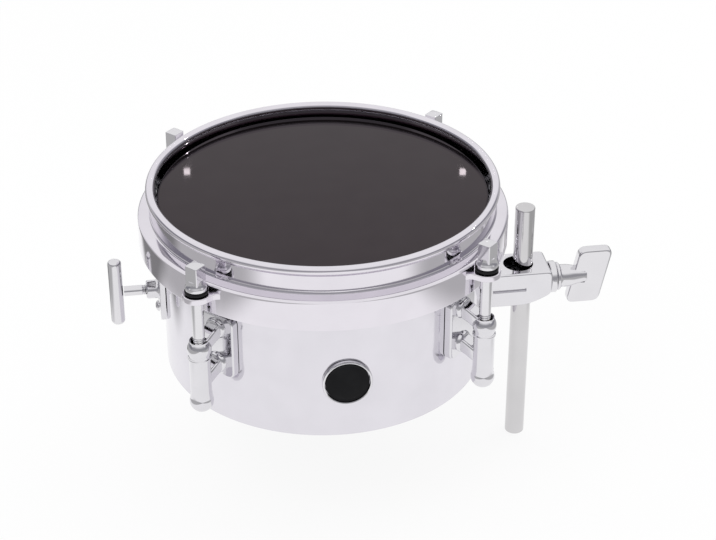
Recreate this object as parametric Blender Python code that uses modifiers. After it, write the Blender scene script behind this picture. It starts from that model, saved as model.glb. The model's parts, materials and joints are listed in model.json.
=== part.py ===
# Micro snare drum on a vertical mounting rod.
# Units are metres and +Z is up. The world origin is the centre of the rod's flat lower end.
# The drum's axis stands at -X of the rod. Drum pieces are modelled around the centre of the
# shell's lower edge and then placed by an empty there. Badge at -Y, bracket at +X, T-handle at -X.

import math

import bmesh
import bpy
from mathutils import Matrix, Vector

MM = 0.001
GAP = 0.3 * MM
CUT_REACH = 1 * MM  # how far a cutter starts outside the face that it cuts
JOIN_INSET = 0.2 * MM  # keeps the faces of two joined boxes from lying in one plane

# Driving sizes: shell and head
SHELL_RADIUS = 76.2 * MM
SHELL_WALL = 1.2 * MM
SHELL_DEPTH = 84.5 * MM
EDGE_TURN_IN = 2.6 * MM
CURVE_ALLOWANCE = 3.0 * MM
FILM_THICKNESS = 0.4 * MM
FILM_SKIRT = 14.5 * MM
FILM_CORNER = 1.0 * MM
FLESH_HOOP_DROP = 8.6 * MM
FLESH_HOOP_WALL = 6.6 * MM
FLESH_HOOP_HEIGHT = 8.0 * MM

# Driving sizes: counterhoop
LIP_RISE = 5.0 * MM
LIP_TUBE = 2.1 * MM
LIP_OVERHANG = 0.7 * MM
COLLAR_WALL = 1.8 * MM
COLLAR_CLEARANCE = 1.7 * MM
LEDGE_THICKNESS = 1.7 * MM
LEDGE_CORNER = 1.2 * MM
LEDGE_FALL = 0.4 * MM
SKIRT_HEIGHT = 13.4 * MM
SKIRT_WALL = 1.6 * MM
SKIRT_CLEARANCE = 0.9 * MM
EAR_MARGIN = 1.1 * MM
EAR_FLARE = 1.5 * MM
EAR_THICKNESS = 3.0 * MM
EAR_DROP = 3.4 * MM

# Driving sizes: tension rods and lugs
LUG_COUNT = 4
FIRST_LUG_TURN = 45.0
ROD_RADIUS = 2.7 * MM
ROD_SQUARE = 6.4 * MM
ROD_SQUARE_HEIGHT = 9.0 * MM
ROD_FLANGE_WIDTH = 2.2 * MM
ROD_FLANGE_SLOPE = 0.9 * MM
ROD_FLANGE_HEIGHT = 1.6 * MM
ROD_NECK_HEIGHT = 1.8 * MM
ROD_REACH = 51.0 * MM
ROD_TO_SKIRT = 2.0 * MM
WASHER_MARGIN = 0.4 * MM
WASHER_THICKNESS = 1.4 * MM
LUG_BASE_WIDTH = 19.0 * MM
LUG_BASE_THICKNESS = 3.0 * MM
LUG_BASE_HEIGHT = 31.0 * MM
LUG_BASE_CORNER = 4.0 * MM
LUG_BASE_RISE = 7.0 * MM
LUG_TUBE_DROP = 34.5 * MM
LUG_TUBE_LENGTH = 37.5 * MM
LUG_TUBE_WALL = 0.6 * MM
LUG_BALL_SWELL = 0.7 * MM
LUG_BORE_ROOM = 2.0 * MM
LUG_ARM_WIDTH = 7.0 * MM
LUG_ARM_HEIGHT = 6.5 * MM
LUG_ARM_DROP = 4.0 * MM
INSERT_WALL = 0.9 * MM
INSERT_LENGTH = 15.0 * MM
LUG_SCREW_RADIUS = 1.9 * MM
LUG_SCREW_HEAD_RADIUS = 4.2 * MM
LUG_SCREW_HEAD_HEIGHT = 2.6 * MM
LUG_SCREW_GRIP = 5.0 * MM
LUG_SCREW_INSET = 6.5 * MM

# Driving sizes: badge
BADGE_RADIUS = 11.4 * MM
BADGE_THICKNESS = 1.2 * MM
BADGE_RIM_WIDTH = 1.1 * MM
BADGE_HEIGHT = 29.3 * MM

# Driving sizes: mounting rod and bracket
MOUNT_ROD_RADIUS = 4.76 * MM
MOUNT_ROD_LENGTH = 129.7 * MM
MOUNT_ROD_REACH = 20.8 * MM
MOUNT_ROD_CHAMFER = 0.8 * MM
SHELL_BASE_Z = 61.4 * MM
BRACKET_HEIGHT = 17.8 * MM
BRACKET_SIDE_WALL = 1.64 * MM
BRACKET_Z = 28.2 * MM
BRACKET_END_WALL = 3.2 * MM
BRACKET_NOSE_RISE = 5.2 * MM
BRACKET_NOSE_START = 2.0 * MM
BRACKET_CORNER = 1.5 * MM
BRACKET_HOLE_CLEARANCE = 2.49 * MM
GROOVE_HEIGHT = 1.8 * MM
GROOVE_CUT = 0.8 * MM
GROOVE_INSET = 4.0 * MM
EYE_PLAY = 1.3 * MM
EYE_WALL = 2.3 * MM
EYE_HEIGHT = 6.0 * MM
EYE_SHANK_RADIUS = 2.9 * MM
EYE_SHANK_TAIL = 14.0 * MM
BRACKET_SCREW_RADIUS = 1.6 * MM
BRACKET_SCREW_HEAD_RADIUS = 2.9 * MM
BRACKET_SCREW_HEAD_HEIGHT = 2.2 * MM
BRACKET_SCREW_GRIP = 6.5 * MM
BRACKET_SCREW_SPREAD = 6.15 * MM
LOCK_WASHER_RADIUS = 7.8 * MM
LOCK_WASHER_THICKNESS = 3.2 * MM
NUT_FLANGE_RADIUS = 6.9 * MM
NUT_FLANGE_THICKNESS = 1.6 * MM
NUT_NECK_RADIUS = 5.6 * MM
NUT_NECK_LENGTH = 13.5 * MM
NUT_TIP_RADIUS = 4.2 * MM
WING_START = 6.7 * MM
WING_SPAN = 29.0 * MM
WING_ROOT_WIDTH = 16.5 * MM
WING_LEAN = 6.0 * MM
WING_THICKNESS = 5.6 * MM
WING_CORNER = 1.5 * MM

# Driving sizes: strainer, snare wires and their butt
STRAINER_Z = 38.9 * MM
STRAINER_PLATE_WIDTH = 18.0 * MM
STRAINER_PLATE_HEIGHT = 26.0 * MM
STRAINER_PLATE_THICKNESS = 2.0 * MM
STRAINER_PLATE_CORNER = 3.0 * MM
STRAINER_BOSS_RADIUS = 4.4 * MM
STRAINER_BOSS_LENGTH = 6.0 * MM
STRAINER_SCREW_RADIUS = 1.5 * MM
STRAINER_SCREW_HEAD_RADIUS = 2.8 * MM
STRAINER_SCREW_HEAD_HEIGHT = 1.8 * MM
STRAINER_SCREW_SPREAD = 9.4 * MM
BOLT_RADIUS = 2.4 * MM
BOLT_EXPOSED = 14.0 * MM
BOLT_NECK_RADIUS = 1.6 * MM
T_BAR_RADIUS = 3.25 * MM
T_BAR_LENGTH = 34.0 * MM
T_BAR_CHAMFER = 0.8 * MM
STRIP_THICKNESS = 1.6 * MM
STRIP_WIDTH = 12.0 * MM
STRIP_SHELL_CLEARANCE = 0.7 * MM
YOKE_TRAVEL_ROOM = 4.0 * MM
YOKE_HEAD_LENGTH = 9.0 * MM
YOKE_GUIDE_LIP = 1.0 * MM
YOKE_GUIDE_SETBACK = 0.3 * MM
SNARE_WIDTH = 24.0 * MM
SNARE_PLATE_MARGIN = 1.0 * MM
SNARE_WIRE_DIAMETER = 1.6 * MM
SNARE_END_CLEARANCE = 8.2 * MM
SNARE_PLATE_LENGTH = 5.0 * MM
SNARE_PLATE_THICKNESS = 2.0 * MM
HOOK_TAB_THICKNESS = 1.6 * MM
HOOK_TAB_HEIGHT = 2.0 * MM
RETAINER_RADIUS = 3.4 * MM
RETAINER_THICKNESS = 1.2 * MM

# Facet counts
RING_STEPS = 56
CUTTER_STEPS = 84
SMALL_STEPS = 10
TUBE_STEPS = 14

# Sizes that follow from the ones above
SHELL_INNER = SHELL_RADIUS - SHELL_WALL
FILM_INNER = SHELL_RADIUS + GAP
FILM_OUTER = FILM_INNER + FILM_THICKNESS
FILM_UNDERSIDE = SHELL_DEPTH + GAP
LIP_Z = SHELL_DEPTH + LIP_RISE
COLLAR_INNER = FILM_OUTER + COLLAR_CLEARANCE
COLLAR_OUTER = COLLAR_INNER + COLLAR_WALL
FLESH_INNER = FILM_OUTER + GAP
FLESH_OUTER = FLESH_INNER + FLESH_HOOP_WALL
FLESH_TOP = SHELL_DEPTH - FLESH_HOOP_DROP
LEDGE_UNDER = FLESH_TOP + GAP
LEDGE_TOP = LEDGE_UNDER + LEDGE_THICKNESS
SKIRT_INNER = FLESH_OUTER + SKIRT_CLEARANCE
SKIRT_OUTER = SKIRT_INNER + SKIRT_WALL
SKIRT_LOW = LEDGE_UNDER - SKIRT_HEIGHT
ROD_CIRCLE = SKIRT_OUTER + ROD_TO_SKIRT + ROD_RADIUS
EAR_TOP = LEDGE_TOP - EAR_DROP
ROD_HOLE = ROD_RADIUS + GAP
ROD_SEAT = EAR_TOP + WASHER_THICKNESS + 2 * GAP
ROD_FLANGE_RADIUS = ROD_RADIUS + ROD_FLANGE_WIDTH
WASHER_RADIUS = ROD_FLANGE_RADIUS + WASHER_MARGIN
EAR_RADIUS = WASHER_RADIUS + EAR_MARGIN
INSERT_INNER = ROD_RADIUS + GAP
INSERT_OUTER = INSERT_INNER + INSERT_WALL
LUG_BORE = INSERT_OUTER + GAP
LUG_TUBE_RADIUS = LUG_BORE + LUG_TUBE_WALL
LUG_BALL_RADIUS = LUG_TUBE_RADIUS + LUG_BALL_SWELL
LUG_TUBE_HIGH = SHELL_DEPTH - LUG_TUBE_DROP
LUG_TUBE_LOW = LUG_TUBE_HIGH - LUG_TUBE_LENGTH
LUG_BASE_HIGH = LUG_TUBE_HIGH + LUG_BASE_RISE
LUG_BASE_LOW = LUG_BASE_HIGH - LUG_BASE_HEIGHT
LUG_FACE = SHELL_RADIUS + GAP
SCREW_SEAT = SHELL_INNER - 2 * GAP
HOLE_PLAY = GAP
MOUNT_FACE = SHELL_RADIUS + GAP
MOUNT_ROD_OFFSET = SHELL_RADIUS + MOUNT_ROD_REACH
BRACKET_HOLE_RADIUS = MOUNT_ROD_RADIUS + BRACKET_HOLE_CLEARANCE
BRACKET_HOLE_X = MOUNT_ROD_OFFSET + MOUNT_ROD_RADIUS + GAP - BRACKET_HOLE_RADIUS
EYE_INNER = MOUNT_ROD_RADIUS + EYE_PLAY
EYE_OUTER = EYE_INNER + EYE_WALL
EYE_X = MOUNT_ROD_OFFSET - MOUNT_ROD_RADIUS - GAP + EYE_INNER
CHAMBER_END = EYE_X + EYE_OUTER + GAP
BRACKET_DEPTH = 2 * (EYE_OUTER + GAP + BRACKET_SIDE_WALL)
BRACKET_END = CHAMBER_END + BRACKET_END_WALL
LOCK_WASHER_X = BRACKET_END + GAP
NUT_X = LOCK_WASHER_X + LOCK_WASHER_THICKNESS + GAP
NUT_NECK_X = NUT_X + NUT_FLANGE_THICKNESS
WING_X = NUT_NECK_X + WING_START
STRIP_X = SHELL_INNER - STRIP_SHELL_CLEARANCE - STRIP_THICKNESS
SNARE_TOP = FILM_UNDERSIDE - GAP
SNARE_LOW = SNARE_TOP - SNARE_WIRE_DIAMETER
SNARE_END = SHELL_RADIUS - SNARE_END_CLEARANCE
SNARE_PLATE_LOW = SNARE_LOW - GAP - SNARE_PLATE_THICKNESS
FLANGE_TOP = SNARE_PLATE_LOW - GAP
FLANGE_LOW = FLANGE_TOP - STRIP_THICKNESS
YOKE_OUTER_X = STRIP_X - YOKE_TRAVEL_ROOM
YOKE_INNER_X = YOKE_OUTER_X - STRIP_THICKNESS
BOLT_SHOULDER_X = YOKE_OUTER_X + GAP
BOSS_END_X = SHELL_RADIUS + GAP + STRAINER_PLATE_THICKNESS + STRAINER_BOSS_LENGTH
T_BAR_X = BOSS_END_X + BOLT_EXPOSED


def clear_scene():
    for obj in list(bpy.data.objects):
        bpy.data.objects.remove(obj, do_unlink=True)


def new_collection(name):
    collection = bpy.data.collections.new(name)
    bpy.context.scene.collection.children.link(collection)
    return collection


def new_material(name, colour, roughness, metallic):
    material = bpy.data.materials.new(name)
    material.use_nodes = True
    shader = material.node_tree.nodes["Principled BSDF"]
    shader.inputs["Base Color"].default_value = (*colour, 1.0)
    shader.inputs["Roughness"].default_value = roughness
    shader.inputs["Metallic"].default_value = metallic
    return material


def object_from(mesh, name, collection, material=None):
    obj = bpy.data.objects.new(name, mesh)
    collection.objects.link(obj)
    if material is not None:
        mesh.materials.clear()
        mesh.materials.append(material)
    return obj


def mesh_from(bm, name):
    bmesh.ops.recalc_face_normals(bm, faces=bm.faces)
    mesh = bpy.data.meshes.new(name)
    bm.to_mesh(mesh)
    bm.free()
    return mesh


def smooth(mesh):
    mesh.shade_smooth()
    mesh.set_sharp_from_angle(angle=math.radians(35))


def box_mesh(low, high, name="box"):
    bm = bmesh.new()
    bmesh.ops.create_cube(bm, size=1.0)
    size = Vector(high) - Vector(low)
    middle = (Vector(high) + Vector(low)) / 2
    bmesh.ops.scale(bm, vec=size, verts=bm.verts)
    bmesh.ops.translate(bm, vec=middle, verts=bm.verts)
    return mesh_from(bm, name)


def rod_mesh(radius, start, end, steps=SMALL_STEPS, name="rod"):
    """A straight cylinder from the point start to the point end."""
    bm = bmesh.new()
    line = Vector(end) - Vector(start)
    bmesh.ops.create_cone(
        bm, cap_ends=True, segments=steps, radius1=radius, radius2=radius, depth=line.length
    )
    turn = Vector((0, 0, 1)).rotation_difference(line).to_matrix().to_4x4()
    bmesh.ops.transform(bm, matrix=turn, verts=bm.verts)
    bmesh.ops.translate(bm, vec=(Vector(start) + Vector(end)) / 2, verts=bm.verts)
    return mesh_from(bm, name)


def outline_mesh(points, half_thickness, name="outline"):
    """A flat closed outline in XY, filled, and as thick as twice half_thickness along Z."""
    curve = bpy.data.curves.new(name, "CURVE")
    curve.dimensions = "2D"
    curve.fill_mode = "BOTH"
    curve.extrude = half_thickness
    spline = curve.splines.new("POLY")
    spline.points.add(len(points) - 1)
    for point, (x, y) in zip(spline.points, points):
        point.co = (x, y, 0, 1)
    spline.use_cyclic_u = True
    guide = bpy.data.objects.new(name, curve)
    CUTTERS.objects.link(guide)
    mesh = evaluated_mesh(guide, name)
    bpy.data.objects.remove(guide, do_unlink=True)
    bm = bmesh.new()
    bm.from_mesh(mesh)
    bmesh.ops.remove_doubles(bm, verts=bm.verts, dist=0.01 * MM)
    return mesh_from(bm, name)


def evaluated_mesh(obj, name):
    bpy.context.view_layer.update()
    graph = bpy.context.evaluated_depsgraph_get()
    mesh = bpy.data.meshes.new_from_object(obj.evaluated_get(graph))
    mesh.name = name
    return mesh


def turned_mesh(profile, steps, name="turned"):
    """Turns a closed profile of (radius, height) points round Z. A point on the axis has radius 0."""
    bm = bmesh.new()
    verts = [bm.verts.new((radius, 0, height)) for radius, height in profile]
    for first, second in zip(verts, verts[1:]):
        bm.edges.new((first, second))
    if profile[0][0] > 0:
        bm.edges.new((verts[-1], verts[0]))
    mesh = bpy.data.meshes.new(name)
    bm.to_mesh(mesh)
    bm.free()
    guide = bpy.data.objects.new(name, mesh)
    CUTTERS.objects.link(guide)
    screw = guide.modifiers.new("Turn", "SCREW")
    screw.axis = "Z"
    screw.steps = steps
    screw.render_steps = steps
    screw.use_merge_vertices = True
    screw.merge_threshold = 0.00001
    turned = evaluated_mesh(guide, name)
    bpy.data.objects.remove(guide, do_unlink=True)
    bm = bmesh.new()
    bm.from_mesh(turned)
    bmesh.ops.remove_doubles(bm, verts=bm.verts, dist=0.005 * MM)
    return mesh_from(bm, name)


def moved(mesh, matrix):
    mesh.transform(matrix)
    return mesh


def boolean(mesh, others, operation):
    """Joins or cuts mesh with each of the others, and returns the resulting mesh."""
    base = object_from(mesh, "work", CUTTERS)
    helpers = []
    for other in others:
        helper = object_from(other, "helper", CUTTERS)
        helpers.append(helper)
        modifier = base.modifiers.new("Boolean", "BOOLEAN")
        modifier.operation = operation
        modifier.solver = "EXACT"
        modifier.object = helper
    result = evaluated_mesh(base, mesh.name)
    for obj in [base, *helpers]:
        bpy.data.objects.remove(obj, do_unlink=True)
    return result


def join(mesh, *others):
    return boolean(mesh, others, "UNION")


def cut(mesh, *others):
    return boolean(mesh, others, "DIFFERENCE")


def place(mesh, name, material, turn=0.0, parent=None):
    """Makes the node. turn is in degrees about the drum's axis."""
    smooth(mesh)
    obj = object_from(mesh, name, PARTS, material)
    obj.parent = DRUM if parent is None else parent
    obj.rotation_euler = (0, 0, math.radians(turn))
    return obj


def place_copies(mesh, stem, material, turns):
    for number, turn in enumerate(turns, start=1):
        place(mesh, f"{stem}_{number}", material, turn)


def arc(centre, radius, start, end, count):
    """Points along an arc, with its angles in degrees."""
    angles = [math.radians(start + (end - start) * i / (count - 1)) for i in range(count)]
    return [(centre[0] + radius * math.cos(a), centre[1] + radius * math.sin(a)) for a in angles]


def rounded_box_outline(width, height, corner, steps=4):
    points = []
    for sx, sy, start in ((1, 1, 0), (-1, 1, 90), (-1, -1, 180), (1, -1, 270)):
        centre = (sx * (width / 2 - corner), sy * (height / 2 - corner))
        points += arc(centre, corner, start, start + 90, steps)
    return points


def standing_plate(width, height, corner, inner_x, outer_x, middle_z):
    """A plate that faces +X, with rounded corners."""
    mesh = outline_mesh(rounded_box_outline(width, height, corner), (outer_x - inner_x) / 2)
    upright = Matrix(((0, 0, 1, 0), (1, 0, 0, 0), (0, 1, 0, 0), (0, 0, 0, 1)))
    shift = Matrix.Translation(((inner_x + outer_x) / 2, 0, middle_z))
    return moved(mesh, shift @ upright)


def side_outline(points, half_width):
    """An outline of (x, z) points, as wide as twice half_width along Y."""
    mesh = outline_mesh(points, half_width)
    return moved(mesh, Matrix.Rotation(math.radians(90), 4, "X"))


def shell_core(radius):
    """The space inside a cylinder of this radius, taller than the shell."""
    reach = 0.5 * SHELL_DEPTH
    return rod_mesh(radius, (0, 0, -reach), (0, 0, SHELL_DEPTH + reach), CUTTER_STEPS)


def screw_mesh(radius, head_radius, head_height, head_x, tip_x, z, y=0.0):
    """A pan-head screw that lies along X. Its head's flat side is at head_x, and its tip at tip_x."""
    side = 1 if tip_x > head_x else -1
    length = abs(tip_x - head_x)
    profile = [
        (0, head_height),
        (0.6 * head_radius, head_height),
        (head_radius, 0.55 * head_height),
        (head_radius, 0),
        (radius, 0),
        (radius, -length),
        (0, -length),
    ]
    mesh = turned_mesh(profile, SMALL_STEPS)
    turn = Matrix.Rotation(math.radians(-90 * side), 4, "Y")
    return moved(mesh, Matrix.Translation((head_x, y, z)) @ turn)


def lug_turns():
    return [FIRST_LUG_TURN + 360 / LUG_COUNT * i for i in range(LUG_COUNT)]


def lug_screw_heights():
    return (LUG_BASE_LOW + LUG_SCREW_INSET, LUG_BASE_HIGH - LUG_SCREW_INSET)


def bracket_screw_heights():
    return (BRACKET_Z - BRACKET_SCREW_SPREAD, BRACKET_Z + BRACKET_SCREW_SPREAD)


def strainer_screw_heights():
    return (STRAINER_Z - STRAINER_SCREW_SPREAD, STRAINER_Z + STRAINER_SCREW_SPREAD)


def make_shell():
    turn_in = EDGE_TURN_IN
    profile = [
        (SHELL_RADIUS - 0.4 * turn_in, SHELL_DEPTH),
        (SHELL_RADIUS, SHELL_DEPTH - 0.5 * turn_in),
        (SHELL_RADIUS, 0.3 * turn_in),
        (SHELL_RADIUS - 0.3 * turn_in, 0),
        (SHELL_INNER - turn_in, 0),
        (SHELL_INNER - turn_in, SHELL_WALL),
        (SHELL_INNER - 0.3 * turn_in, SHELL_WALL),
        (SHELL_INNER, SHELL_WALL + 0.3 * turn_in),
        (SHELL_INNER, SHELL_DEPTH - turn_in),
        (SHELL_INNER - 0.4 * turn_in, SHELL_DEPTH),
    ]
    mesh = turned_mesh(profile, RING_STEPS, "shell")
    near = SHELL_INNER - 2 * SHELL_WALL
    far = SHELL_RADIUS + 2 * SHELL_WALL
    drillings = []
    for turn in lug_turns():
        for z in lug_screw_heights():
            hole = rod_mesh(LUG_SCREW_RADIUS + HOLE_PLAY, (near, 0, z), (far, 0, z))
            drillings.append(moved(hole, Matrix.Rotation(math.radians(turn), 4, "Z")))
    for z in bracket_screw_heights():
        drillings.append(rod_mesh(BRACKET_SCREW_RADIUS + HOLE_PLAY, (near, 0, z), (far, 0, z)))
    for z in strainer_screw_heights():
        drillings.append(rod_mesh(STRAINER_SCREW_RADIUS + HOLE_PLAY, (-near, 0, z), (-far, 0, z)))
    bolt_hole = BOLT_RADIUS + 2 * HOLE_PLAY
    drillings.append(rod_mesh(bolt_hole, (-near, 0, STRAINER_Z), (-far, 0, STRAINER_Z)))
    place(cut(mesh, *drillings), "shell", CHROME)


def make_head():
    low = FILM_UNDERSIDE - FILM_SKIRT
    top = FILM_UNDERSIDE + FILM_THICKNESS
    profile = [
        (0, top),
        (FILM_OUTER - FILM_CORNER, top),
        (FILM_OUTER, top - 0.6 * FILM_CORNER),
        (FILM_OUTER, low),
        (FILM_INNER, low),
        (FILM_INNER, FILM_UNDERSIDE),
        (0, FILM_UNDERSIDE),
    ]
    place(turned_mesh(profile, RING_STEPS, "head_film"), "head_film", FILM)
    bottom = FLESH_TOP - FLESH_HOOP_HEIGHT
    hoop = [
        (FLESH_INNER, FLESH_TOP),
        (FLESH_OUTER, FLESH_TOP),
        (FLESH_OUTER, bottom),
        (FLESH_INNER, bottom),
    ]
    place(turned_mesh(hoop, RING_STEPS, "flesh_hoop"), "flesh_hoop", ALUMINIUM)


def make_counterhoop():
    lip = (COLLAR_INNER + LIP_TUBE - LIP_OVERHANG, LIP_Z)
    profile = [
        *arc(lip, LIP_TUBE, 90, -65, 6),
        (COLLAR_OUTER, LEDGE_TOP + LEDGE_CORNER),
        (COLLAR_OUTER + LEDGE_CORNER, LEDGE_TOP),
        (SKIRT_OUTER - LEDGE_CORNER, LEDGE_TOP - LEDGE_FALL),
        (SKIRT_OUTER, LEDGE_TOP - LEDGE_FALL - LEDGE_CORNER),
        (SKIRT_OUTER, SKIRT_LOW),
        (SKIRT_INNER, SKIRT_LOW),
        (SKIRT_INNER, LEDGE_UNDER),
        (COLLAR_INNER, LEDGE_UNDER),
        *arc(lip, LIP_TUBE, 236, 122, 4),
    ]
    ring = turned_mesh(profile, RING_STEPS, "counterhoop")
    root_x = (SKIRT_INNER + SKIRT_OUTER) / 2
    outline = [(root_x, -EAR_RADIUS - EAR_FLARE)]
    outline += arc((ROD_CIRCLE, 0), EAR_RADIUS, -80, 80, 9)
    outline += [(root_x, EAR_RADIUS + EAR_FLARE)]
    middle = EAR_TOP - EAR_THICKNESS / 2
    ears = []
    holes = []
    for turn in lug_turns():
        spin = Matrix.Rotation(math.radians(turn), 4, "Z")
        ear = outline_mesh(outline, EAR_THICKNESS / 2)
        ears.append(moved(ear, spin @ Matrix.Translation((0, 0, middle))))
        ends = [(ROD_CIRCLE, 0, middle + side * EAR_THICKNESS) for side in (-1, 1)]
        holes.append(moved(rod_mesh(ROD_HOLE, ends[0], ends[1], TUBE_STEPS), spin))
        seat = [(ROD_CIRCLE, 0, EAR_TOP), (ROD_CIRCLE, 0, LEDGE_TOP + EAR_THICKNESS)]
        holes.append(moved(rod_mesh(WASHER_RADIUS + GAP, seat[0], seat[1], TUBE_STEPS), spin))
    place(cut(join(ring, *ears), *holes), "counterhoop", CHROME)


def make_tension_rods():
    flange_top = ROD_SEAT + ROD_FLANGE_HEIGHT
    neck_top = flange_top + ROD_NECK_HEIGHT
    square_top = neck_top + ROD_SQUARE_HEIGHT
    half = ROD_SQUARE / 2
    profile = [
        (0, neck_top),
        (half, neck_top),
        (ROD_FLANGE_RADIUS - ROD_FLANGE_SLOPE, flange_top),
        (ROD_FLANGE_RADIUS, flange_top - 0.5 * ROD_FLANGE_SLOPE),
        (ROD_FLANGE_RADIUS, ROD_SEAT),
        (ROD_RADIUS, ROD_SEAT),
        (ROD_RADIUS, ROD_SEAT - ROD_REACH),
        (0, ROD_SEAT - ROD_REACH),
    ]
    stem = turned_mesh(profile, TUBE_STEPS, "tension_rod")
    square = box_mesh((-half, -half, flange_top), (half, half, square_top))
    rod = moved(join(stem, square), Matrix.Translation((ROD_CIRCLE, 0, 0)))
    place_copies(rod, "tension_rod", CHROME, lug_turns())
    washer_low = EAR_TOP + GAP
    washer = [
        (ROD_HOLE, washer_low + WASHER_THICKNESS),
        (WASHER_RADIUS, washer_low + WASHER_THICKNESS),
        (WASHER_RADIUS, washer_low),
        (ROD_HOLE, washer_low),
    ]
    mesh = moved(turned_mesh(washer, TUBE_STEPS), Matrix.Translation((ROD_CIRCLE, 0, 0)))
    place_copies(mesh, "rod_washer", BLACK, lug_turns())


def make_lugs():
    bore_floor = min(LUG_TUBE_HIGH - INSERT_LENGTH, ROD_SEAT - ROD_REACH) - LUG_BORE_ROOM
    ball = LUG_BALL_RADIUS
    waist_low = LUG_TUBE_LOW + 1.7 * ball
    waist_high = LUG_TUBE_HIGH - 1.5 * ball
    profile = [
        (0, LUG_TUBE_HIGH),
        *arc((0, LUG_TUBE_HIGH - 0.8 * ball), ball, 52, -25, 4),
        (LUG_TUBE_RADIUS, waist_high),
        (LUG_TUBE_RADIUS, waist_low),
        *arc((0, LUG_TUBE_LOW + ball), ball, 30, -90, 5)[:-1],
        (0, LUG_TUBE_LOW),
    ]
    tube = turned_mesh(profile, TUBE_STEPS, "lug")
    tube = moved(tube, Matrix.Translation((ROD_CIRCLE, 0, 0)))
    plate = standing_plate(
        LUG_BASE_WIDTH,
        LUG_BASE_HIGH - LUG_BASE_LOW,
        LUG_BASE_CORNER,
        SHELL_RADIUS - CURVE_ALLOWANCE,
        LUG_FACE + LUG_BASE_THICKNESS,
        (LUG_BASE_LOW + LUG_BASE_HIGH) / 2,
    )
    arms = []
    for z in lug_screw_heights():
        half = LUG_ARM_HEIGHT / 2
        drop = LUG_ARM_DROP
        points = [
            (LUG_FACE, z - half),
            (ROD_CIRCLE, z - half - drop),
            (ROD_CIRCLE, z + half - drop),
            (LUG_FACE, z + half),
        ]
        arms.append(side_outline(points, LUG_ARM_WIDTH / 2))
    solid = join(tube, plate, *arms)
    bore = rod_mesh(
        LUG_BORE,
        (ROD_CIRCLE, 0, bore_floor),
        (ROD_CIRCLE, 0, LUG_TUBE_HIGH + ball),
        TUBE_STEPS,
    )
    cutters = [shell_core(LUG_FACE), bore]
    tip = LUG_FACE + LUG_SCREW_GRIP + GAP
    for z in lug_screw_heights():
        cutters.append(rod_mesh(LUG_SCREW_RADIUS + HOLE_PLAY, (SHELL_INNER, 0, z), (tip, 0, z)))
    lug = cut(solid, *cutters)
    place_copies(lug, "lug", CHROME, lug_turns())
    insert = [
        (INSERT_INNER, LUG_TUBE_HIGH - GAP),
        (INSERT_OUTER, LUG_TUBE_HIGH - GAP),
        (INSERT_OUTER, LUG_TUBE_HIGH - INSERT_LENGTH),
        (INSERT_INNER, LUG_TUBE_HIGH - INSERT_LENGTH),
    ]
    mesh = moved(turned_mesh(insert, TUBE_STEPS), Matrix.Translation((ROD_CIRCLE, 0, 0)))
    place_copies(mesh, "lug_insert", BRASS, lug_turns())
    for row, z in zip(("low", "high"), lug_screw_heights()):
        screw = screw_mesh(
            LUG_SCREW_RADIUS,
            LUG_SCREW_HEAD_RADIUS,
            LUG_SCREW_HEAD_HEIGHT,
            SCREW_SEAT,
            LUG_FACE + LUG_SCREW_GRIP,
            z,
        )
        place_copies(screw, f"lug_screw_{row}", STEEL, lug_turns())


def make_badge():
    inner = BADGE_RADIUS - BADGE_RIM_WIDTH
    front = LUG_FACE + BADGE_THICKNESS
    facing = Matrix.Rotation(math.radians(90), 4, "Y")
    thick = 4 * BADGE_THICKNESS
    disc = turned_mesh([(0, 0), (inner - GAP, 0), (inner - GAP, -thick), (0, -thick)], 24)
    disc = moved(disc, Matrix.Translation((front, 0, BADGE_HEIGHT)) @ facing)
    rim = turned_mesh(
        [
            (inner, 0),
            (inner + 0.3 * BADGE_RIM_WIDTH, 0.3 * BADGE_RIM_WIDTH),
            (BADGE_RADIUS, 0),
            (BADGE_RADIUS, -thick),
            (inner, -thick),
        ],
        24,
    )
    rim = moved(rim, Matrix.Translation((front, 0, BADGE_HEIGHT)) @ facing)
    place(cut(disc, shell_core(LUG_FACE)), "badge", BLACK, -90)
    place(cut(rim, shell_core(LUG_FACE)), "badge_rim", CHROME, -90)


def make_mount_rod():
    profile = [
        (0, MOUNT_ROD_LENGTH),
        (MOUNT_ROD_RADIUS - MOUNT_ROD_CHAMFER, MOUNT_ROD_LENGTH),
        (MOUNT_ROD_RADIUS, MOUNT_ROD_LENGTH - MOUNT_ROD_CHAMFER),
        (MOUNT_ROD_RADIUS, MOUNT_ROD_CHAMFER),
        (MOUNT_ROD_RADIUS - MOUNT_ROD_CHAMFER, 0),
        (0, 0),
    ]
    place(turned_mesh(profile, 24, "mount_rod"), "mount_rod", CHROME, parent=STAND)


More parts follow.
